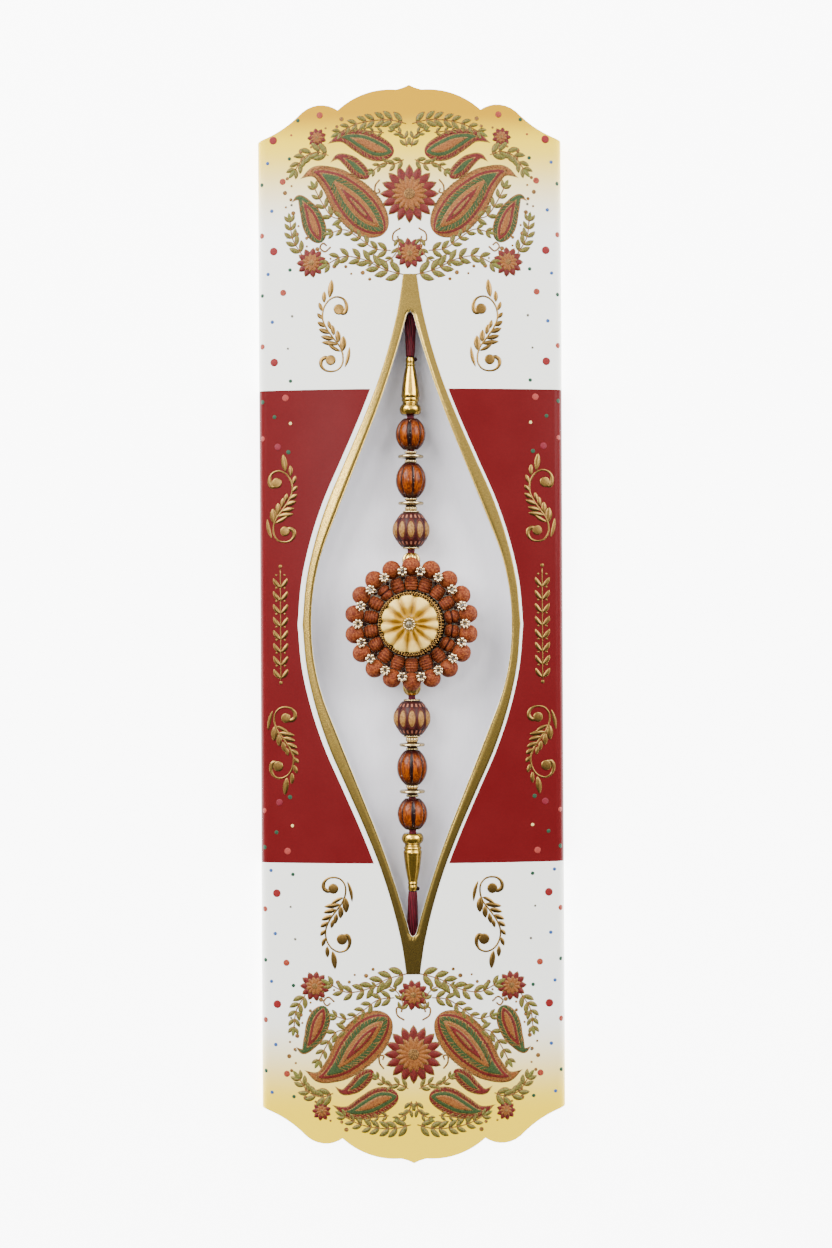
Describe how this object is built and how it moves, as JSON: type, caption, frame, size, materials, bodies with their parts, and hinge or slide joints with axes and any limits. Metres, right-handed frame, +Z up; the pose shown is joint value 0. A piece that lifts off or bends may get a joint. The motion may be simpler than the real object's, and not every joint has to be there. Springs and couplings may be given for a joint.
{
  "type": "rakhi thread bracelet on a display card",
  "caption": "Beaded thread bracelet with a round flower medallion, oval beads and tapered ferrules, lying in the pointed window of an arched card sleeve.",
  "frame": {"origin": "middle of the card's underside, on the surface it lies on", "axes": "+Y along the thread and the card's long way, +Z up out of the card's window, +X across the card"},
  "size_m": [0.068, 0.24, 0.0128],
  "materials": {
    "card_printed": "satin printed white card with red and yellow bands, gold foil border and scrolls",
    "card_red": "matt dark red card outside, white inside",
    "maroon_thread": "silky twisted strands",
    "polished_gold": "polished gold plate",
    "antique_gold": "worn gold plate with dark recesses",
    "pale_gold": "pale silver-gold plate",
    "amber": "glossy translucent amber resin",
    "brown_resin": "satin dark brown resin with ivory ovals",
    "red_brown_bead": "satin mottled red-brown",
    "pale_base": "pale silvery stiffened cloth",
    "ivory_resin": "satin ivory with ochre wash in the grooves",
    "grey_stone": "polished grey stone"
  },
  "bodies": {
    "root": {"card_back_panel": "card_red", "card_front_panel": "card_printed", "stringing_thread": "maroon_thread", "tie_thread_upper": "maroon_thread", "tie_thread_lower": "maroon_thread", "end_ferrule_upper": "polished_gold", "end_ferrule_lower": "polished_gold", "amber_bead_round_upper": "amber", "amber_bead_round_lower": "amber", "amber_bead_oval_upper": "amber", "amber_bead_oval_lower": "amber", "wheel_spacer_outer_upper": "antique_gold", "wheel_spacer_outer_lower": "antique_gold", "wheel_spacer_inner_upper": "antique_gold", "wheel_spacer_inner_lower": "antique_gold", "brown_bead_upper": "brown_resin", "brown_bead_lower": "brown_resin", "bead_rim_outer_upper": "antique_gold", "bead_rim_outer_lower": "antique_gold", "bead_rim_inner_upper": "antique_gold", "bead_rim_inner_lower": "antique_gold", "gold_bead_upper": "polished_gold", "gold_bead_lower": "polished_gold", "medallion_base": "pale_base", "outer_ring_beads": "red_brown_bead", "inner_ring_beads": "red_brown_bead", "daisy_studs": "pale_gold", "bezel_cup": "antique_gold", "ivory_flower": "ivory_resin", "flower_boss": "pale_gold", "centre_stone": "grey_stone"}
  },
  "joints": []
}
